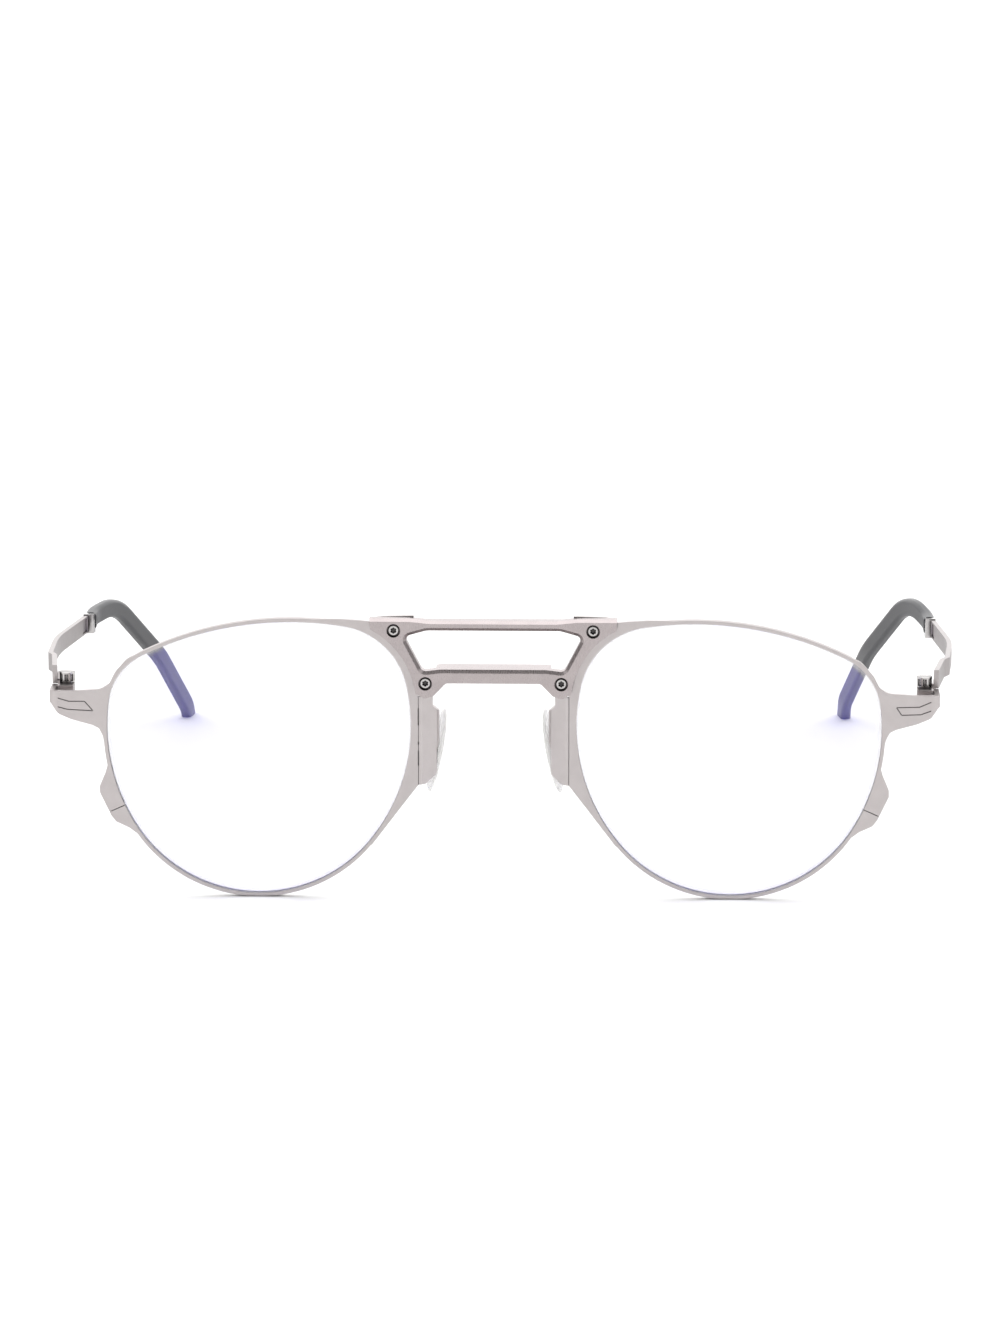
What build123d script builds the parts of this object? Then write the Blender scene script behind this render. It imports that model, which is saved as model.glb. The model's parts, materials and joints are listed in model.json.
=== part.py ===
from build123d import *
from math import cos, pi, radians, sin
import os

# Round wire eyeglasses with a milled double bridge, folding arms and curved ear tips.
# Millimetres, +Z up, +X to the viewer's right when the front is seen, arms running back along +Y.
# Shapes are drawn with Y = 0 on the front face of the rims, right side only; the left side is its mirror.
# save() moves everything so that the origin is under the middle of the object, on the surface it stands on.

# Lens shape: six tangent arcs, anticlockwise from the front. Each arc turns from its heading to the next one.
LENS_HEADINGS = (-50.5, 58.4, 97.8, 153.8, 188.7, 257.1, 309.5)
LENS_OUTER_SIDE_R = 30.0
LENS_OUTER_CORNER_R = 9.7
LENS_TOP_R = 53.0
LENS_NASAL_CORNER_R = 11.8
LENS_START = (19.9, 8.85)

# Rims and the sheet that grows out of them.
RIM_INNER = 0.16  # the rim runs from this far outside the lens outline to RIM_WIDTH outside it
RIM_WIDTH = 0.7
RIM_DEPTH = 1.4
GROOVE_DEPTH = 0.45
GROOVE_FRONT = 0.4
GROOVE_WIDTH = 0.6
SHEET = 0.8
PAST = 1.0  # how far a cutting shape runs past the surface it cuts

# The engraved loop on each end piece: an upper and a lower line, joined by a slant at their inner ends.
ENGRAVING = 0.16
ENGRAVED_LINES = {
    "right": ([(63.0, 31.05), (66.6, 31.15), (68.4, 31.95)], [(63.8, 29.85), (66.8, 29.95), (68.4, 30.55)]),
    "left": ([(64.2, 31.3), (66.7, 31.3), (68.4, 31.8)], [(62.9, 29.8), (66.9, 30.0), (68.4, 30.4)]),
}

# Nose pads. The tab that carries a pad is the folded flange's own end.
FLANGE_PATH = [(12.4, 0.4), (11.5, 0.4), (8.8, 2.2), (10.9, 6.9)]
FLANGE_BENDS = [0.5, 0.7]
FOLD_X = 11.8
FOLD_SPAN = (18.2, 32.5)
FOLD_SCORE_WIDTH = 0.1
FOLD_SLIT_WIDTH = 0.2
FOLD_SLIT_DEPTH = 0.5
FOLD_SLITS = {"right": [], "left": [(21.3, 23.7), (24.7, 25.1), (27.8, 30.5)]}
TAB_BOTTOM = 20.6
TAB_TOP = 24.0
PAD_CENTRE = (9.55, 6.6, 22.4)
PAD_HEIGHT = 13.6
PAD_DEPTH = 7.4
PAD_THICKNESS = 1.4
PAD_TILT = 11
PAD_SPLAY = 9
PAD_BOSS_OUT = 2.2
PAD_BOSS_DEPTH = 2.6
PAD_BOSS_HEIGHT = 4.6

# The rim is split at the wing. The lock blocks and their screw sit behind it, square to the rim.
SPLIT_X = 58.6
SPLIT_Z = 14.4
SPLIT_TILT = -24
SPLIT_GAP = 0.12
LOCK_LENGTH = 1.7
LOCK_WIDTH = 1.9
LOCK_BACK = 2.6
LOCK_GAP = 0.05
LOCK_SCREW_R = 0.45
LOCK_HEAD_R = 0.75
LOCK_HEAD_HEIGHT = 0.6
LOCK_SCREW_END = 0.35
LOCK_BLIND = 0.3
LOCK_SLOT = (0.25, 0.5, 2)

# Lenses.
LENS_CENTRE = (37.0, 22.5)
LENS_THICKNESS = 1.2
LENS_CURVE_R = 200.0
LENS_FRONT = -1.17
LENS_EDGE_GAP = 0.03

# Bridge.
BRIDGE_FRONT = -2.4
TOP_BAR_BACK = 0.7
LOWER_BAR_BACK = 2.6
TOP_SLOPE_DROP = 0.36
TOP_SLOPE_DEPTH = 1.0
WINDOW_CHAMFER = 0.5
BRIDGE_SCREWS = {"upper": (15.56, 43.3), "lower": (10.62, 34.9)}
LEG_GAP = 1.5
SCREW_SEAT = -1.4
SCREW_HEAD_R = 0.87
SCREW_HEAD_HEIGHT = 0.75
SCREW_CROWN = 0.2
SOCKET_R = 0.36
SOCKET_LOBES = 6
LOBE_OUT = 0.31
LOBE_R = 0.19
SOCKET_FLOOR = 0.2
SCREW_SHANK_R = 0.5
COUNTERBORE_R = 1.07
BUSH_R = 1.0
BUSH_BACK = 2.0
FIT_GAP = 0.02

# End piece, hinge and arm. The hinge pin stands upright at HINGE_X, HINGE_Y.
SIDE_X = 69.4
SIDE_BACK = 5.6
HINGE_X = 67.6
HINGE_Y = 7.0
KNUCKLE_R = 1.2
PIN_R = 0.6
HINGE_BOTTOM = 29.2
KNUCKLE_LOW = (30.9, 31.1)
KNUCKLE_HIGH = (31.9, 32.1)
HINGE_TOP = 32.95
HINGE_HEAD_TOP = 34.67
HINGE_HEAD_R = 1.2
HINGE_HEAD_FOOT = 0.3
HINGE_FLUTES = 8
FLUTE_R = 0.3
HINGE_SLOT = 0.3
BLOCK_FRONT = 4.2
SLIT = (31.9, 32.2)
SLIT_DEPTH = 0.4
RELIEF_HOLE = (68.7, 32.5)
RELIEF_R = 0.22
LEAF = 0.45
LEAF_START = 8.6
LEAF_END = 15.0
LEAF_TOP = 33.1

ARM_THICKNESS = 0.8
ARM_HEIGHT = 2.9
ARM_START = 5.9
FERRULE_START = 88.5
FERRULE_END = 91.5
FERRULE_THICKNESS = 1.7
FERRULE_HEIGHT = 3.3
TIP_INSET = 0.45  # how far the collar and the tip sit inwards of the strip's middle
RECESS_X = 72.75
RECESS_MIDDLE = (84.4, 26.72)
RECESS_LENGTH = 6.6
RECESS_HEIGHT = 2.3
RECESS_SLOPE = 5.8
ARM_PLAN = [(69.4, ARM_START), (71.0, 20.5), (72.0, 24.0), (73.75, 50.0), (72.65, 94.5)]
ARM_PLAN_RADII = [4, 4, 180]
ARM_SIDE = [(ARM_START, 34.4), (22.0, 33.1), (94.5, 25.7)]
ARM_SIDE_RADII = [100]

# The ear tip's centre line runs on from the arm, over a hump and down to the surface the object stands on.
# Each tip is bent a little differently: its hook sits higher or lower by its own amount.
TIP_ROOT = [(72.7 - TIP_INSET, 90.5, 26.1), (72.65 - TIP_INSET, 94.5, 26.5)]
TIP_HOOK = [(69.2, 103.0, 27.95), (62.8, 119.0, 15.53), (59.4, 135.0, 3.1), (59.4, 141.5, -1.95)]
TIP_RISE = {"right": 0.6, "left": -0.9}
TIP_BENDS = [10, 13, 40, 20]
TIP_THICKNESS = 1.9
TIP_HEIGHT = 3.1
TIP_ROUNDING = 0.7
TIP_END = 141.0
TONGUE_END = 104.0
TONGUE_HEIGHT = 1.8

CENTRE_Y = (BRIDGE_FRONT + TIP_END) / 2


def plate(shape, front, back):
    """Extrudes an X-Z shape from y = front back to y = back."""
    return extrude(Plane.XZ.offset(-front) * shape, amount=front - back)


def upright(shape, bottom, top):
    """Extrudes an X-Y shape from z = bottom up to z = top."""
    return extrude(Plane.XY.offset(bottom) * shape, amount=top - bottom)


def sideways(shape, near, far):
    """Extrudes a Y-Z shape from x = near out to x = far."""
    return extrude(Plane.YZ.offset(near) * shape, amount=far - near)


def outline(points, radii=None):
    """A closed face through the points, with a fillet radius for each point or none."""
    if radii is None:
        return make_face(Polyline(*points, close=True))
    return make_face(FilletPolyline(*points, radius=radii, close=True))


def lens_face(grow):
    """The lens opening, grown outwards by a parallel distance."""
    turns = list(zip(LENS_HEADINGS, LENS_HEADINGS[1:]))
    radii = [None, LENS_OUTER_SIDE_R, LENS_OUTER_CORNER_R, LENS_TOP_R, LENS_NASAL_CORNER_R, None]
    steps = [(sin(radians(b)) - sin(radians(a)), cos(radians(a)) - cos(radians(b))) for a, b in turns]
    # The bottom and nasal-side radii are the two that close the outline.
    known_x = sum(r * step[0] for r, step in zip(radii, steps) if r)
    known_z = sum(r * step[1] for r, step in zip(radii, steps) if r)
    (bottom_x, bottom_z), (nasal_x, nasal_z) = steps[0], steps[-1]
    det = bottom_x * nasal_z - nasal_x * bottom_z
    radii[0] = (nasal_x * known_z - nasal_z * known_x) / det
    radii[-1] = (bottom_z * known_x - bottom_x * known_z) / det
    x, z = LENS_START
    arcs = []
    for (start, end), radius, step in zip(turns, radii, steps):
        centre = (x - radius * sin(radians(start)), z + radius * cos(radians(start)))
        arcs.append(CenterArc(centre, radius + grow, start - 90, end - start))
        x += radius * step[0]
        z += radius * step[1]
    return make_face(Wire(arcs))


def rim_ring():
    """The right rim with the groove that holds the lens."""
    ring = plate(lens_face(RIM_WIDTH) - lens_face(RIM_INNER), 0, RIM_DEPTH)
    groove = lens_face(GROOVE_DEPTH) - lens_face(-GROOVE_DEPTH)
    return ring - plate(groove, GROOVE_FRONT, GROOVE_FRONT + GROOVE_WIDTH)


def bridge_land():
    """The flat land of the rim that the bridge leg is screwed onto, with the gusset below the nose flange."""
    land = outline([
        (29.0, 44.5), (27.5, 44.6), (24.0, 44.6), (20.9, 44.4), (19.3, 44.25), (18.9, 44.85), (17.5, 45.1),
        (12.5, 45.23), (12.5, 43.4), (15.0, 42.5), (14.9, 41.2),
        (12.5, 37.0), (11.0, 36.5), (9.4, 35.4), (9.4, 33.6), (10.2, 32.9), (11.8, 32.5),
        (11.8, 18.2), (14.1, 15.2), (19.2, 8.45), (20.2, 9.0), (14.2, 20.0), (13.8, 33.0),
    ])
    return plate(land - lens_face(GROOVE_DEPTH), 0, SHEET)


def flange_path():
    """The folded flange seen from above."""
    return FilletPolyline(*FLANGE_PATH, radius=FLANGE_BENDS)


def nose_flange():
    """The flange folded back from the land, and the tab behind it that carries the pad."""
    folded = upright(trace(flange_path(), SHEET), 17, 34)
    front = outline([
        (13, 32.3), (9.6, 32.3), (9.6, 30.6), (8.9, 30.0), (8.3, 29.6), (8.3, 25.4), (9.0, 23.6),
        (9.0, 19.7), (10.6, 18.3), (13, 18.1),
    ])
    side = outline([
        (-1, 17), (2.6, 17), (3.4, TAB_BOTTOM), (7.2, TAB_BOTTOM), (7.2, TAB_TOP), (3.4, TAB_TOP), (2.6, 34),
        (-1, 34),
    ])
    return folded & plate(front, -PAST, 8) & sideways(side, 7, 13)


def fold_line(slits):
    """The scored line along the flange's fold, cut deeper over a few stretches so that it bends there."""
    score = plate(span_box(FOLD_X, FOLD_SPAN, FOLD_SCORE_WIDTH), -ENGRAVING, ENGRAVING)
    for slit in slits:
        score += plate(span_box(FOLD_X, slit, FOLD_SLIT_WIDTH), -PAST, FOLD_SLIT_DEPTH)
    return score


def span_box(x, levels, width):
    """A narrow upright strip at x between two levels."""
    low, high = levels
    return Pos(x, (low + high) / 2) * Rectangle(width, high - low)


def end_piece(engraved):
    """The sheet from the rim to the corner, bent back as a side wall, with its engraved loop."""
    face = outline([
        (54.5, 39.4), (57.4, 38.2), (59.4, 35.9), (60.3, 34.1), (61.7, 33.2), (66, 32.93), (71, 32.93),
        (71, 31.07), (69.6, 31.0), (68.4, 29.3), (66.3, 28.4), (63.0, 27.5), (62.0, 27.0), (61.4, 25.8),
        (60.9, 23), (59, 23),
    ], [0, 3, 3, 0.8, 2.5, 0, 0, 0, 0.9, 1.6, 3, 2, 0.6, 3, 0, 0])
    path = FilletPolyline((50, SHEET / 2), (SIDE_X, SHEET / 2), (SIDE_X, SIDE_BACK), radius=0.9)
    bent = upright(trace(path, SHEET), 20, 42) & plate(face, -PAST, SIDE_BACK + PAST)
    upper, lower = engraved
    for line in (upper, lower, [upper[0], lower[0]]):
        bent -= plate(trace(Polyline(*line), ENGRAVING), -ENGRAVING, ENGRAVING)
    return bent - plate(lens_face(GROOVE_DEPTH), -PAST, SIDE_BACK)


def wing():
    """The widened sheet at the lower outer rim, where the rim is split."""
    lug = outline(
        [(60.6, 21.5), (61.05, 19.9), (62.0, 17.7), (62.0, 16.7), (60.2, 12.9), (59.5, 12.0), (57.4, 11.0),
         (55.0, 9.2), (54, 11), (58.5, 20)],
        [0, 1, 1, 1, 0, 0.8, 0, 0, 0, 0],
    )
    return plate(lug - lens_face(GROOVE_DEPTH), 0, SHEET)


def split_place():
    """A frame on the rim at the split: x outwards from the rim, y up along it, z towards the front."""
    tilt = radians(SPLIT_TILT)
    return Plane(origin=(SPLIT_X, 0, SPLIT_Z), x_dir=(cos(tilt), 0, sin(tilt)), z_dir=(0, -1, 0))


def block(low, high):
    """A box between two opposite corners."""
    size = [b - a for a, b in zip(low, high)]
    return Pos(*low) * Box(*size, align=(Align.MIN, Align.MIN, Align.MIN))


def pin(x, z, radius, front, back):
    """A round pin or drill along Y."""
    return plate(Pos(x, z) * Circle(radius), front, back)


def upright_pin(radius, bottom, top):
    """A round pin or drill on the hinge axis."""
    return upright(Pos(HINGE_X, HINGE_Y) * Circle(radius), bottom, top)


def rim(side):
    """The rim with everything cut from the same sheet, split at the wing."""
    whole = rim_ring() + bridge_land() + nose_flange() + end_piece(ENGRAVED_LINES[side]) + wing()
    whole -= fold_line(FOLD_SLITS[side])
    whole -= split_place() * Box(9, SPLIT_GAP, 9)
    for x, z in BRIDGE_SCREWS.values():
        whole -= pin(x, z, SCREW_SHANK_R + FIT_GAP, -PAST, SHEET + PAST)
    return whole


def lens():
    """A thin meniscus lens with the bevel that sits in the rim groove."""
    x, z = LENS_CENTRE
    front_ball = Pos(x, LENS_FRONT + LENS_CURVE_R, z) * Sphere(LENS_CURVE_R)
    back_ball = Pos(x, LENS_FRONT + LENS_THICKNESS + LENS_CURVE_R, z) * Sphere(LENS_CURVE_R)
    blank = plate(lens_face(RIM_INNER - LENS_EDGE_GAP), LENS_FRONT - PAST, RIM_DEPTH + PAST)
    bevel = plate(
        lens_face(GROOVE_DEPTH - 2 * LENS_EDGE_GAP) - lens_face(-1),
        GROOVE_FRONT + LENS_EDGE_GAP,
        GROOVE_FRONT + GROOVE_WIDTH - LENS_EDGE_GAP,
    )
    return (blank & front_ball) - back_ball + bevel


def across(half):
    """Half an outline's points followed by their mirror images, to close it across the middle."""
    return half + [(-x, z) for x, z in reversed(half)]


def front_edges(solid):
    """The edges round the front face of the bridge."""
    return solid.edges().filter_by_position(Axis.Y, BRIDGE_FRONT - FIT_GAP, BRIDGE_FRONT + FIT_GAP)


def front_bridge():
    """The milled bridge: two legs, a top bar and a deeper lower bar round an open window."""
    outer = [
        (9.8, 44.75), (13.2, 45.08), (19.35, 45.08), (19.1, 42.4), (16, 33.6), (11.9, 33.2), (10.7, 32.5),
        (9.3, 33.0), (7.4, 34.98),
    ]
    outer_radii = [4, 4, 0, 0, 0, 0.3, 0.8, 0.5, 0.8]
    window = [(10.4, 43.3), (13.95, 42.3), (11.05, 36.75), (8.25, 37.1)]
    window_radii = [3, 0.8, 1.0, 3]
    face = outline(across(outer), outer_radii + outer_radii[::-1])
    face -= outline(across(window), window_radii + window_radii[::-1])
    right_lens_side = lens_face(LEG_GAP)
    face -= right_lens_side
    face -= mirror(right_lens_side, about=Plane.YZ)
    bridge = plate(face, BRIDGE_FRONT, 0)
    top_edges = front_edges(bridge).filter_by_position(Axis.Z, 44.7, 45.3)
    front_face = bridge.faces().sort_by(Axis.Y)[0]
    bridge = chamfer(top_edges, TOP_SLOPE_DROP, TOP_SLOPE_DEPTH, reference=front_face)
    middles = [(edge, edge.center()) for edge in front_edges(bridge)]
    sides = [edge for edge, middle in middles if 36.6 < middle.Z < 42.2 and abs(middle.X) < 14]
    bridge = chamfer(sides, WINDOW_CHAMFER)
    top_back = outline(across([(12.2, 44.7), (12.2, 42.84), (10.4, 43.3)]))
    low_back = outline(across([(8.2, 37.1), (9.0, 37.0), (9.0, 35.2), (7.2, 34.98)]))
    bridge += plate(top_back, -SHEET, TOP_BAR_BACK)
    bridge += plate(low_back, -SHEET, LOWER_BAR_BACK)
    for x, z in BRIDGE_SCREWS.values():
        for side in (x, -x):
            bridge -= pin(side, z, COUNTERBORE_R, BRIDGE_FRONT - PAST, SCREW_SEAT)
            bridge -= pin(side, z, SCREW_SHANK_R + FIT_GAP, BRIDGE_FRONT, PAST)
    return bridge


def bridge_screw(x, z):
    """A star-socket screw with a slightly crowned head."""
    head_front = SCREW_SEAT - SCREW_HEAD_HEIGHT
    head = pin(x, z, SCREW_HEAD_R, head_front, SCREW_SEAT)
    rim_edges = head.edges().filter_by_position(Axis.Y, head_front - FIT_GAP, head_front + FIT_GAP)
    head = fillet(rim_edges, SCREW_CROWN)
    socket = pin(x, z, SOCKET_R, head_front - PAST, SCREW_SEAT - SOCKET_FLOOR)
    for lobe in range(SOCKET_LOBES):
        turn = 2 * pi * (lobe + 0.5) / SOCKET_LOBES
        centre = (x + LOBE_OUT * cos(turn), z + LOBE_OUT * sin(turn))
        socket += pin(*centre, LOBE_R, head_front - PAST, SCREW_SEAT - SOCKET_FLOOR)
    return head - socket + pin(x, z, SCREW_SHANK_R, SCREW_SEAT, BUSH_BACK)


def bridge_bush(x, z):
    """The threaded bush behind the rim that a bridge screw pulls on."""
    return pin(x, z, BUSH_R, SHEET, BUSH_BACK) - pin(x, z, SCREW_SHANK_R + FIT_GAP, 0, BUSH_BACK + PAST)


def pad_place():
    """The middle of the pad: x out of its bearing face, y up it, z along its depth."""
    return Pos(*PAD_CENTRE) * Rot(0, -PAD_TILT, -PAD_SPLAY)


def nose_pad():
    """A lens-shaped silicone pad with a boss that plugs onto the flange tab."""
    oval = Ellipse(PAD_DEPTH / 2, PAD_HEIGHT / 2)
    body = extrude(Plane.YZ.offset(-PAD_THICKNESS / 2) * oval, amount=PAD_THICKNESS)
    body = fillet(body.edges(), PAD_THICKNESS * 0.45)
    boss = Pos(PAD_BOSS_OUT / 2, 0, 0) * Box(PAD_BOSS_OUT, PAD_BOSS_DEPTH, PAD_BOSS_HEIGHT)
    pad = pad_place() * (body + boss)
    slot = upright(trace(flange_path(), SHEET + FIT_GAP), TAB_BOTTOM - PAST, TAB_TOP + PAST)
    return pad - slot


def lock_rod(radius, low, high):
    """A cylinder on the lock screw's axis, which runs up along the rim across the split."""
    middle = Pos(LOCK_GAP + LOCK_WIDTH / 2, (low + high) / 2, -(SHEET + LOCK_BACK) / 2)
    return split_place() * middle * Rot(90, 0, 0) * Cylinder(radius, high - low)


def lock_block(low, high):
    """One closing block behind the wing, bored for the lock screw."""
    body = block((LOCK_GAP, low, -LOCK_BACK), (LOCK_GAP + LOCK_WIDTH, high, -SHEET))
    body = fillet(body.edges().filter_by(Axis.Y), 0.25)
    bore = lock_rod(LOCK_SCREW_R + FIT_GAP, -LOCK_LENGTH - PAST, LOCK_LENGTH - LOCK_BLIND)
    return split_place() * body - bore


def lock_screw():
    """The screw that pulls the split rim together on the lens, with a slotted head below the lower block."""
    head_bottom = -LOCK_LENGTH - LOCK_HEAD_HEIGHT
    screw = lock_rod(LOCK_SCREW_R, -LOCK_LENGTH, LOCK_LENGTH - LOCK_SCREW_END)
    screw += lock_rod(LOCK_HEAD_R, head_bottom, -LOCK_LENGTH)
    slot = Pos(LOCK_GAP + LOCK_WIDTH / 2, head_bottom, -(SHEET + LOCK_BACK) / 2) * Box(*LOCK_SLOT)
    return screw - split_place() * slot


def hinge_front_leaf():
    """The block on the inside of the side wall with the two outer knuckles."""
    left = HINGE_X - KNUCKLE_R
    wall = SIDE_X - SHEET / 2
    leaf = block((left, BLOCK_FRONT, HINGE_BOTTOM), (wall, SIDE_BACK, HINGE_TOP))
    for low, high in ((HINGE_BOTTOM, KNUCKLE_LOW[0]), (KNUCKLE_HIGH[1], HINGE_TOP)):
        leaf += block((left, SIDE_BACK, low), (HINGE_X + KNUCKLE_R, HINGE_Y, high))
        leaf += upright_pin(KNUCKLE_R, low, high)
    slit_end = (HINGE_X + SLIT_DEPTH, BLOCK_FRONT + SLIT_DEPTH, SLIT[1])
    leaf -= block((left - PAST, BLOCK_FRONT - PAST, SLIT[0]), slit_end)
    leaf -= pin(*RELIEF_HOLE, RELIEF_R, BLOCK_FRONT - PAST, HINGE_Y + KNUCKLE_R)
    return leaf - upright_pin(PIN_R + FIT_GAP, HINGE_BOTTOM - PAST, HINGE_TOP + PAST)


def hinge_temple_leaf(arm):
    """The middle knuckle and the plate that carries it up the inner face of the arm."""
    low, high = KNUCKLE_LOW[1], KNUCKLE_HIGH[0]
    leaf = upright_pin(KNUCKLE_R, low, high)
    leaf += block((HINGE_X + FIT_GAP, HINGE_Y, low), (SIDE_X, LEAF_START + LEAF, high))
    plan = trace(FilletPolyline(*ARM_PLAN, radius=ARM_PLAN_RADII), ARM_THICKNESS + 2 * LEAF)
    inner_half = plan - trace(FilletPolyline(*ARM_PLAN, radius=ARM_PLAN_RADII), ARM_THICKNESS)
    span = block((HINGE_X, LEAF_START, low), (SIDE_X + ARM_THICKNESS / 2, LEAF_END, LEAF_TOP))
    leaf += upright(inner_half, low, LEAF_TOP) & span
    return leaf - arm - upright_pin(PIN_R + FIT_GAP, low - PAST, high + PAST)


def hinge_screw():
    """The hinge pin with its tall fluted head."""
    head = upright_pin(HINGE_HEAD_R, HINGE_TOP, HINGE_HEAD_TOP)
    for flute in range(HINGE_FLUTES):
        turn = 2 * pi * flute / HINGE_FLUTES
        groove = Pos(HINGE_X + HINGE_HEAD_R * cos(turn), HINGE_Y + HINGE_HEAD_R * sin(turn)) * Circle(FLUTE_R)
        head -= upright(groove, HINGE_TOP + HINGE_HEAD_FOOT, HINGE_HEAD_TOP - HINGE_HEAD_FOOT)
    slot_bottom = HINGE_HEAD_TOP - HINGE_SLOT
    head -= block(
        (HINGE_X - HINGE_HEAD_R - PAST, HINGE_Y - HINGE_SLOT / 2, slot_bottom),
        (HINGE_X + HINGE_HEAD_R + PAST, HINGE_Y + HINGE_SLOT / 2, HINGE_HEAD_TOP + PAST),
    )
    return head + upright_pin(PIN_R, HINGE_BOTTOM - FIT_GAP, HINGE_TOP)


def hinge_washers():
    """Two thin washers, one each side of the middle knuckle."""
    washers = []
    for low, high in (KNUCKLE_LOW, KNUCKLE_HIGH):
        ring = upright_pin(KNUCKLE_R, low + FIT_GAP, high - FIT_GAP)
        washers.append(ring - upright_pin(PIN_R + FIT_GAP, low - PAST, high + PAST))
    return Compound(washers)


def arm_band(thickness, height, start, end):
    """A length of the arm's bar, start and end given along Y."""
    plan = trace(FilletPolyline(*ARM_PLAN, radius=ARM_PLAN_RADII), thickness)
    side = trace(FilletPolyline(*ARM_SIDE, radius=ARM_SIDE_RADII), height)
    span = block((40, start, 0), (90, end, 60))
    return upright(plan, 0, 60) & sideways(side, 40, 90) & span


def tip_sweep(side, section, start, end):
    """A section swept along one ear tip's centre line, from start to end along Y, cut at the rest surface."""
    hook = [(x, y, z + TIP_RISE[side]) for x, y, z in TIP_HOOK]
    path = FilletPolyline(*TIP_ROOT, *hook, radius=TIP_BENDS)
    first = Plane(origin=TIP_ROOT[0], x_dir=(1, 0, 0), z_dir=path % 0)
    return sweep(first * section, path=path) & block((40, start, 0), (90, end, 60))


def temple_arm(side):
    """The flat metal strip with its jog, a recess near the collar and a tongue that runs into the tip."""
    strip = arm_band(ARM_THICKNESS, ARM_HEIGHT, ARM_START, FERRULE_START)
    strip -= recess()
    strip += arm_band(ARM_THICKNESS, TONGUE_HEIGHT, FERRULE_START, FERRULE_END)
    return strip + tip_sweep(side, Rectangle(ARM_THICKNESS, TONGUE_HEIGHT), FERRULE_END, TONGUE_END)


def recess():
    """The long shallow slot in the strip's inner face, ahead of the collar."""
    slot = Box(RECESS_X - SIDE_X, RECESS_LENGTH, RECESS_HEIGHT)
    return Pos((SIDE_X + RECESS_X) / 2, *RECESS_MIDDLE) * Rot(-RECESS_SLOPE, 0, 0) * slot


def ferrule(arm):
    """The polished collar between the metal strip and the tip."""
    collar = arm_band(FERRULE_THICKNESS, FERRULE_HEIGHT, FERRULE_START, FERRULE_END)
    return Pos(-TIP_INSET, 0, 0) * collar - arm


def temple_tip(side, arm):
    """The curved ear tip, cut flat where it rests on a table."""
    section = RectangleRounded(TIP_THICKNESS, TIP_HEIGHT, TIP_ROUNDING)
    return tip_sweep(side, section, FERRULE_END, TIP_END) - arm


def save(name, shape):
    """Writes one piece, moved so that the origin is under the middle of the object."""
    export_step(Pos(0, -CENTRE_Y, 0) * shape, f"parts/{name}.step")


def save_side(side, name, shape):
    """Writes one side's piece. Every piece is drawn on the right, so the left one is mirrored."""
    save(f"{side}_{name}", shape if side == "right" else mirror(shape, about=Plane.YZ))


def main():
    os.makedirs("parts", exist_ok=True)
    save("front_bridge", front_bridge())
    for level, (x, z) in BRIDGE_SCREWS.items():
        for side, across_x in (("right", x), ("left", -x)):
            save(f"bridge_screw_{level}_{side}", bridge_screw(across_x, z))
            save(f"bridge_bush_{level}_{side}", bridge_bush(across_x, z))
    for side in ("right", "left"):
        save_side(side, "rim", rim(side))
        save_side(side, "lens", lens())
        save_side(side, "nose_pad", nose_pad())
        save_side(side, "rim_lock_upper", lock_block(SPLIT_GAP / 2, LOCK_LENGTH))
        save_side(side, "rim_lock_lower", lock_block(-LOCK_LENGTH, -SPLIT_GAP / 2))
        save_side(side, "rim_lock_screw", lock_screw())
        arm = temple_arm(side)
        save_side(side, "hinge_front_leaf", hinge_front_leaf())
        save_side(side, "hinge_temple_leaf", hinge_temple_leaf(arm))
        save_side(side, "hinge_screw", hinge_screw())
        save_side(side, "hinge_washers", hinge_washers())
        save_side(side, "temple_arm", arm)
        save_side(side, "ferrule", ferrule(arm))
        save_side(side, "temple_tip", temple_tip(side, arm))


main()
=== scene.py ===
from math import cos, pi, radians, sin, tau
import json

import bmesh
import bpy
from mathutils import Matrix, Vector


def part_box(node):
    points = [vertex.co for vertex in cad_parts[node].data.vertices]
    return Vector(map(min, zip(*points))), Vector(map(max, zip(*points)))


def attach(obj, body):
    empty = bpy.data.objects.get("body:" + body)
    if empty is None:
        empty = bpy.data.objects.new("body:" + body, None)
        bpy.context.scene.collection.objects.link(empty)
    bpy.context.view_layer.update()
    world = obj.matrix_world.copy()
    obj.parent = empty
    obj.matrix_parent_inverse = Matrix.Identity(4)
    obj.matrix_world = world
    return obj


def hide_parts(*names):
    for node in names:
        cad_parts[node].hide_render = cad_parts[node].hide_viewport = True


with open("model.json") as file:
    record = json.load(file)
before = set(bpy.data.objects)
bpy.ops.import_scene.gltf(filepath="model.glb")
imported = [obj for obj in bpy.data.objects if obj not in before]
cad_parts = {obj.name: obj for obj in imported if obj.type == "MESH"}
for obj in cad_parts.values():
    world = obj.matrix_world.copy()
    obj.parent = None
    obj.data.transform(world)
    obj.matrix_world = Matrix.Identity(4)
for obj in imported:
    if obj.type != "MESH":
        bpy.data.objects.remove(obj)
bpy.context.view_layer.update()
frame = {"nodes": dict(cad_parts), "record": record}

# Round wire eyeglasses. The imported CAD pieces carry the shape. This script gives each one its finish, builds
# the soft nose pads, and sets up the floor, the light and the camera.
MM = 0.001
SIDES = {"right": 1, "left": -1}
EVEN = (1, 1, 1)

# The camera: low, far off and nearly square to the front.
CAMERA_DISTANCE = 0.9
CAMERA_ELEVATION = radians(12.44)
CAMERA_AZIMUTH = radians(1.67)
CAMERA_LENS = 154.8
CAMERA_SHIFT = (0.0048, 0.071)
CAMERA_CLIP = 0.01
AIM_HEIGHT = 22 * MM

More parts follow.
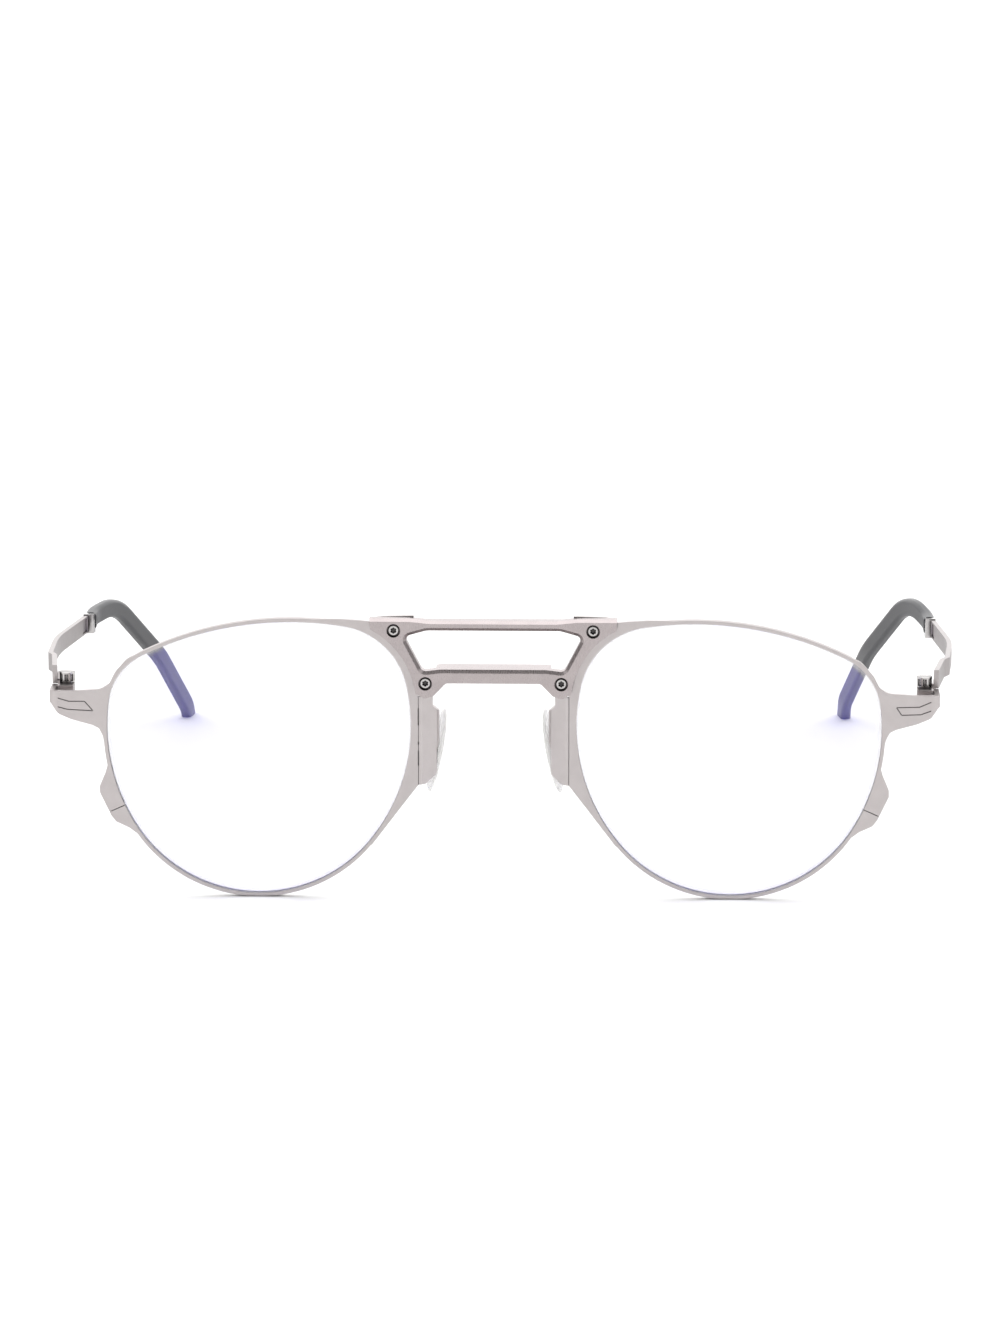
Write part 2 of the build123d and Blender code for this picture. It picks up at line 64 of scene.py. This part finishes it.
# The light: a very wide sun from high behind, in white surroundings with a few dark panels to reflect.
SUN_TRAVEL = (0, -1.2, -1)
SUN_WIDTH = radians(115)
SUN_STRENGTH = 3.2
WORLD_STRENGTH = 1.0
OVERHEAD_PANEL = ((0.78, 1), (0.92, 0.12))  # height of the direction looked in, and the brightness there
SIDE_PANELS = ((0.8, 1), (0.95, 0.3))  # how far out to either side, and the brightness there
CAMERA_PANEL = ((0.955, 1), (0.975, 0.25))  # closeness to the camera's direction, and the brightness there

FLOOR_SIZE = 8  # metres

# Nose pads, sized like the CAD ones they stand for.
PAD_HEIGHT = 13.6 * MM
PAD_DEPTH = 7.4 * MM
PAD_THICKNESS = 1.4 * MM
PAD_TILT = radians(11)
PAD_SPLAY = radians(9)
PAD_RINGS = 12
PAD_SPOKES = 48
PAD_CROWN = 3.2
BOSS_OUT = 2.1 * MM
BOSS_DEPTH = 2.6 * MM
BOSS_HEIGHT = 4.6 * MM
BOSS_ROUNDING = 0.35 * MM
BOSS_SEGMENTS = 4

# Shared by the finishes: how the nodes that look around a point sample, the openness taken as walled in and
# as clear, and the fineness of the clouds on metal.
BEVEL_SAMPLES = 6
OPENNESS_SAMPLES = 8
WALLED_IN = 0.45
CLEAR = 0.9
METAL_CLOUD_SCALE = 420


# ---------------------------------------------------------------- node helpers

def new_material(name):
    """An empty node material with a Principled shader."""
    material = bpy.data.materials.new(name)
    material.use_nodes = True
    tree = material.node_tree
    tree.nodes.clear()
    shader = tree.nodes.new("ShaderNodeBsdfPrincipled")
    output = tree.nodes.new("ShaderNodeOutputMaterial")
    tree.links.new(shader.outputs["BSDF"], output.inputs["Surface"])
    return material, tree, shader


def grey(level):
    """A neutral colour."""
    return (level, level, level)


def object_space(tree, scale):
    """Object coordinates, stretched by a scale along each axis."""
    place = tree.nodes.new("ShaderNodeTexCoord")
    stretch = tree.nodes.new("ShaderNodeMapping")
    stretch.inputs["Scale"].default_value = scale
    tree.links.new(place.outputs["Object"], stretch.inputs["Vector"])
    return stretch.outputs["Vector"]


def noise(tree, scale, stretch=EVEN, detail=3.0):
    """A noise texture's value."""
    texture = tree.nodes.new("ShaderNodeTexNoise")
    texture.inputs["Scale"].default_value = scale
    texture.inputs["Detail"].default_value = detail
    tree.links.new(object_space(tree, stretch), texture.inputs["Vector"])
    return texture.outputs["Fac"]


def ramp(tree, value, stops):
    """A colour ramp through (position, colour) stops."""
    node = tree.nodes.new("ShaderNodeValToRGB")
    for element, (position, colour) in zip(node.color_ramp.elements, stops):
        element.position = position
        element.color = (*colour, 1)
    tree.links.new(value, node.inputs["Fac"])
    return node.outputs["Color"]


def mottle(tree, clouds, colours, ends=(0.3, 0.7)):
    """A colour that wanders between two colours with the clouds."""
    return ramp(tree, clouds, list(zip(ends, colours)))


def panel(tree, value, stops):
    """A brightness through (position, level) stops."""
    return ramp(tree, value, [(position, grey(level)) for position, level in stops])


def spread(tree, value, low, high):
    """A value from 0 to 1 mapped onto a range."""
    node = tree.nodes.new("ShaderNodeMapRange")
    node.inputs["To Min"].default_value = low
    node.inputs["To Max"].default_value = high
    tree.links.new(value, node.inputs["Value"])
    return node.outputs["Result"]


def multiply(tree, first, second):
    """Two colours multiplied."""
    product = tree.nodes.new("ShaderNodeMix")
    product.data_type = "RGBA"
    product.blend_type = "MULTIPLY"
    product.inputs["Factor"].default_value = 1
    tree.links.new(first, product.inputs["A"])
    tree.links.new(second, product.inputs["B"])
    return product.outputs["Result"]


def bump(tree, value, distance, strength, soft_edge=None):
    """A bump from a value, over edges rounded by soft_edge where one is given."""
    node = tree.nodes.new("ShaderNodeBump")
    node.inputs["Distance"].default_value = distance
    node.inputs["Strength"].default_value = strength
    tree.links.new(value, node.inputs["Height"])
    if soft_edge:
        edge = tree.nodes.new("ShaderNodeBevel")
        edge.samples = BEVEL_SAMPLES
        edge.inputs["Radius"].default_value = soft_edge
        tree.links.new(edge.outputs["Normal"], node.inputs["Normal"])
    return node.outputs["Normal"]


def openness(tree, reach):
    """How open the surface is within reach: 1 in the clear, lower beside walls and down in slots."""
    closeness = tree.nodes.new("ShaderNodeAmbientOcclusion")
    closeness.samples = OPENNESS_SAMPLES
    closeness.inputs["Distance"].default_value = reach
    return closeness.outputs["AO"]


def painted_crevice_shade(tree, colour, reach, deepest):
    """A colour with painted shade: made darker where the surface is hemmed in within reach, as in slots and
    engraved lines.
    """
    shade = panel(tree, openness(tree, reach), [(WALLED_IN, deepest), (CLEAR, 1)])
    return multiply(tree, colour, shade)


# ---------------------------------------------------------------- finishes

def metal(name, colours, roughness, grain, grain_scale, soft_edge, shade_reach, shade_depth, edge_on):
    """A satin or polished metal: mottled colour with painted shade in its slots and seams, streaked roughness
    and a fine grain along one direction.
    """
    material, tree, shader = new_material(name)
    streaks = noise(tree, scale=grain_scale, stretch=grain)
    mottled = mottle(tree, noise(tree, scale=METAL_CLOUD_SCALE), colours)
    # Painted shade: the mottled colour is made darker in slots, sockets and seams.
    crevice_shaded = painted_crevice_shade(tree, mottled, shade_reach, shade_depth)
    scratched = bump(tree, streaks, distance=0.01 * MM, strength=0.35, soft_edge=soft_edge)
    tree.links.new(crevice_shaded, shader.inputs["Base Color"])
    tree.links.new(spread(tree, streaks, *roughness), shader.inputs["Roughness"])
    tree.links.new(scratched, shader.inputs["Normal"])
    shader.inputs["Metallic"].default_value = 1
    shader.inputs["Specular Tint"].default_value = (*grey(edge_on), 1)
    return material


def frame_metal():
    """Satin champagne-grey sheet, brushed up and down."""
    return metal(
        "frame_metal",
        colours=[(0.505, 0.468, 0.464), (0.54, 0.502, 0.498)],
        roughness=(0.26, 0.38),
        grain=(1, 1, 14),
        grain_scale=900,
        soft_edge=0.06 * MM,
        # Painted shade in slots and seams: how far it looks and how dark it gets.
        shade_reach=0.35 * MM,
        shade_depth=0.25,
        edge_on=0.5,
    )


def bridge_metal():
    """The bridge's milled metal: a little pinker and darker, with cutter marks running across it."""
    return metal(
        "bridge_metal",
        colours=[(0.42, 0.374, 0.374), (0.455, 0.406, 0.405)],
        roughness=(0.22, 0.34),
        grain=(14, 1, 1),
        grain_scale=1100,
        soft_edge=0.05 * MM,
        # Painted shade in the rings round the screws and in the seams: how far it looks and how dark it gets.
        shade_reach=0.5 * MM,
        shade_depth=0.3,
        edge_on=0.6,
    )


def polished_metal():
    """Screws, bushes, collars and washers."""
    return metal(
        "polished_metal",
        colours=[(0.5, 0.48, 0.475), (0.6, 0.58, 0.57)],
        roughness=(0.1, 0.18),
        grain=(1, 1, 6),
        grain_scale=700,
        soft_edge=0.04 * MM,
        # Strong painted shade: screw sockets and rings, looking far and going nearly black.
        shade_reach=1.2 * MM,
        shade_depth=0.05,
        edge_on=0.6,
    )


def lens_glass():
    """Clear lens with the violet reflection of its anti-reflective layer painted into its colour, a trace of
    smudging and a pale edge by the rim.
    """
    material, tree, shader = new_material("lens_glass")
    smudge = noise(tree, scale=60, detail=5.0)
    clearance = openness(tree, 0.9 * MM)
    ground = panel(tree, clearance, [(0.93, 1), (0.99, 0)])
    by_rim = panel(tree, clearance, [(0.7, 1), (0.95, 0)])
    # Painted reflection: the violet sheen of the anti-reflective layer is set as base colour and seen through
    # the low alpha.
    painted_coating_reflection = mottle(tree, smudge, [(0.28, 0.26, 0.95), (0.33, 0.29, 1.0)], ends=(0.3, 0.8))
    colour = tree.nodes.new("ShaderNodeMix")
    colour.data_type = "RGBA"
    colour.inputs["B"].default_value = (0.85, 0.84, 0.88, 1)
    tree.links.new(ground, colour.inputs["Factor"])
    tree.links.new(painted_coating_reflection, colour.inputs["A"])
    tree.links.new(colour.outputs["Result"], shader.inputs["Base Color"])
    tree.links.new(spread(tree, smudge, low=0.02, high=0.06), shader.inputs["Roughness"])
    tree.links.new(spread(tree, by_rim, low=0.12, high=0.3), shader.inputs["Alpha"])
    shader.inputs["IOR"].default_value = 1.5
    return material


def pad_silicone():
    """Translucent frosted silicone."""
    material, tree, shader = new_material("pad_silicone")
    haze = noise(tree, scale=400, detail=4.0)
    milky = mottle(tree, haze, [(0.62, 0.61, 0.59), (0.74, 0.73, 0.71)])
    tree.links.new(milky, shader.inputs["Base Color"])
    tree.links.new(spread(tree, haze, low=0.28, high=0.42), shader.inputs["Roughness"])
    tree.links.new(bump(tree, haze, distance=0.02 * MM, strength=0.3), shader.inputs["Normal"])
    shader.inputs["Alpha"].default_value = 0.5
    shader.inputs["Subsurface Weight"].default_value = 0.4
    shader.inputs["Subsurface Radius"].default_value = grey(2 * MM)
    return material


def tip_plastic():
    """Dark grey satin plastic with the faint cloudiness of a moulded tip."""
    material, tree, shader = new_material("tip_plastic")
    clouds = noise(tree, scale=160, detail=4.0)
    polish = noise(tree, scale=900)
    slate = mottle(tree, clouds, [(0.036, 0.036, 0.04), (0.053, 0.053, 0.058)])
    tree.links.new(slate, shader.inputs["Base Color"])
    tree.links.new(spread(tree, clouds, low=0.42, high=0.55), shader.inputs["Roughness"])
    tree.links.new(bump(tree, polish, distance=0.01 * MM, strength=0.2), shader.inputs["Normal"])
    shader.inputs["Coat Weight"].default_value = 0.15
    shader.inputs["Coat Roughness"].default_value = 0.1
    return material


def floor_finish():
    """A white sweep with a barely visible tooth."""
    material, tree, shader = new_material("floor_finish")
    tooth = noise(tree, scale=90)
    tree.links.new(mottle(tree, tooth, [grey(0.9), grey(0.93)]), shader.inputs["Base Color"])
    tree.links.new(spread(tree, tooth, low=0.7, high=0.8), shader.inputs["Roughness"])
    return material


FINISHES = {
    "frame_metal": frame_metal,
    "bridge_metal": bridge_metal,
    "polished_metal": polished_metal,
    "lens_glass": lens_glass,
    "pad_silicone": pad_silicone,
    "tip_plastic": tip_plastic,
}


def give_finishes():
    """Every CAD node takes the finish of its material slot."""
    finishes = {name: make() for name, make in FINISHES.items()}
    for part in frame["record"]["subparts"]:
        node = frame["nodes"][part["node"]]
        node.data.materials.clear()
        node.data.materials.append(finishes[part["material_slot"]])
    return finishes


# ---------------------------------------------------------------- nose pads

def mesh_object(name, shape, finish):
    """A mesh object from a bmesh, with smooth faces and one material."""
    bmesh.ops.recalc_face_normals(shape, faces=shape.faces)
    mesh = bpy.data.meshes.new(name)
    shape.to_mesh(mesh)
    shape.free()
    for face in mesh.polygons:
        face.use_smooth = True
    mesh.materials.append(finish)
    piece = bpy.data.objects.new(name, mesh)
    bpy.context.scene.collection.objects.link(piece)
    return piece


def pad_ring(shape, face, reach):
    """One oval ring of corners on the flange's side (1) or the nose's (-1), reach of the way to full size."""
    out = face * PAD_THICKNESS / 2 * (1 - reach ** PAD_CROWN) ** (1 / 2)
    half_depth = PAD_DEPTH / 2 * reach
    half_height = PAD_HEIGHT / 2 * reach
    ring = []
    for spoke in range(PAD_SPOKES):
        turn = tau * spoke / PAD_SPOKES
        ring.append(shape.verts.new((out, half_depth * cos(turn), half_height * sin(turn))))
    return ring


def pillow(shape):
    """A closed oval cushion: x through its thickness, y along its depth, z up its height."""
    reaches = [sin(step / PAD_RINGS * pi / 2) for step in range(1, PAD_RINGS + 1)]
    chain = [pad_ring(shape, 1, reach) for reach in reaches]
    chain += [pad_ring(shape, -1, reach) for reach in reversed(reaches[:-1])]
    for ring, following in zip(chain, chain[1:]):
        for spoke in range(PAD_SPOKES):
            after = (spoke + 1) % PAD_SPOKES
            shape.faces.new((ring[spoke], ring[after], following[after], following[spoke]))
    for ring, out in ((chain[0], PAD_THICKNESS / 2), (chain[-1], -PAD_THICKNESS / 2)):
        middle = shape.verts.new((out, 0, 0))
        for spoke in range(PAD_SPOKES):
            shape.faces.new((middle, ring[spoke], ring[(spoke + 1) % PAD_SPOKES]))


def boss(shape):
    """The rounded block behind the pad that plugs onto the flange's tab."""
    low = Vector((0, -BOSS_DEPTH / 2, -BOSS_HEIGHT / 2))
    high = Vector((BOSS_OUT, BOSS_DEPTH / 2, BOSS_HEIGHT / 2))
    made = bmesh.ops.create_cube(shape, size=1)["verts"]
    for vert in made:
        vert.co = (low + high) / 2 + (high - low) * vert.co
    edges = list(dict.fromkeys(edge for vert in made for edge in vert.link_edges))
    bmesh.ops.bevel(
        shape, geom=edges, offset=BOSS_ROUNDING, segments=BOSS_SEGMENTS, affect="EDGES", profile=0.5
    )


def pad_place(side):
    """Where the pad's middle is and how it leans, found from the CAD pad's box."""
    low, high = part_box(f"{side}_nose_pad")
    lean = Matrix.Rotation(-PAD_TILT, 4, "Y") @ Matrix.Rotation(-PAD_SPLAY, 4, "Z")
    half = Vector((PAD_THICKNESS / 2, PAD_DEPTH / 2, PAD_HEIGHT / 2))
    reach = Vector((lean[0][axis] * half[axis] for axis in range(3))).length
    nasal = low.x if side == "right" else -high.x
    middle = Matrix.Translation((nasal + reach, (low.y + high.y) / 2, (low.z + high.z) / 2))
    mirror = Matrix.Diagonal((SIDES[side], 1, 1, 1))
    return mirror @ middle @ lean


def nose_pad(side, finish):
    """A soft pad with its boss, in place of the plain CAD pad."""
    shape = bmesh.new()
    pillow(shape)
    boss(shape)
    bmesh.ops.transform(shape, matrix=pad_place(side), verts=shape.verts)
    pad = mesh_object(f"{side}_soft_pad", shape, finish)
    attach(pad, "front")
    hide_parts(f"{side}_nose_pad")


# ---------------------------------------------------------------- floor, light and camera

def floor():
    """A large pale floor under the object."""
    bpy.ops.mesh.primitive_plane_add(size=FLOOR_SIZE, location=(0, 0, 0))
    plane = bpy.context.object
    plane.name = "floor"
    plane.data.materials.append(floor_finish())


def camera_direction():
    """The direction from the object towards the camera."""
    return Vector((
        sin(CAMERA_AZIMUTH) * cos(CAMERA_ELEVATION),
        -cos(CAMERA_AZIMUTH) * cos(CAMERA_ELEVATION),
        sin(CAMERA_ELEVATION),
    ))


def soft_world():
    """White surroundings with a dark panel overhead, dark sides and a dark patch where the camera stands."""
    world = bpy.data.worlds.new("studio")
    bpy.context.scene.world = world
    world.use_nodes = True
    tree = world.node_tree
    tree.nodes.clear()
    place = tree.nodes.new("ShaderNodeTexCoord")
    split = tree.nodes.new("ShaderNodeSeparateXYZ")
    shade = tree.nodes.new("ShaderNodeBackground")
    output = tree.nodes.new("ShaderNodeOutputWorld")
    tree.links.new(place.outputs["Generated"], split.inputs["Vector"])
    sideways = tree.nodes.new("ShaderNodeMath")
    sideways.operation = "ABSOLUTE"
    tree.links.new(split.outputs["X"], sideways.inputs[0])
    towards_camera = tree.nodes.new("ShaderNodeVectorMath")
    towards_camera.operation = "DOT_PRODUCT"
    towards_camera.inputs[1].default_value = camera_direction()
    tree.links.new(place.outputs["Generated"], towards_camera.inputs[0])
    overhead = panel(tree, split.outputs["Z"], OVERHEAD_PANEL)
    sides = panel(tree, sideways.outputs["Value"], SIDE_PANELS)
    patch = panel(tree, towards_camera.outputs["Value"], CAMERA_PANEL)
    tree.links.new(multiply(tree, multiply(tree, overhead, sides), patch), shade.inputs["Color"])
    shade.inputs["Strength"].default_value = WORLD_STRENGTH
    tree.links.new(shade.outputs["Background"], output.inputs["Surface"])


def soft_sun():
    """An even, very soft light over the whole floor."""
    light = bpy.data.lights.new("soft_sun", "SUN")
    light.angle = SUN_WIDTH
    light.energy = SUN_STRENGTH
    lamp = bpy.data.objects.new("soft_sun", light)
    bpy.context.scene.collection.objects.link(lamp)
    lamp.rotation_euler = Vector(SUN_TRAVEL).to_track_quat("-Z", "Y").to_euler()


def camera():
    """The view from a little above, nearly square to the front."""
    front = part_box("right_rim")[0].y
    aim = Vector((0, front, AIM_HEIGHT))
    back = camera_direction()
    data = bpy.data.cameras.new("camera")
    data.lens = CAMERA_LENS
    data.shift_x, data.shift_y = CAMERA_SHIFT
    data.clip_start = CAMERA_CLIP
    seer = bpy.data.objects.new("camera", data)
    bpy.context.scene.collection.objects.link(seer)
    seer.location = aim + back * CAMERA_DISTANCE
    seer.rotation_euler = (-back).to_track_quat("-Z", "Y").to_euler()
    bpy.context.scene.camera = seer


finishes = give_finishes()
for side in SIDES:
    nose_pad(side, finishes["pad_silicone"])
floor()
soft_world()
soft_sun()
camera()
bpy.context.scene.view_settings.view_transform = "Standard"
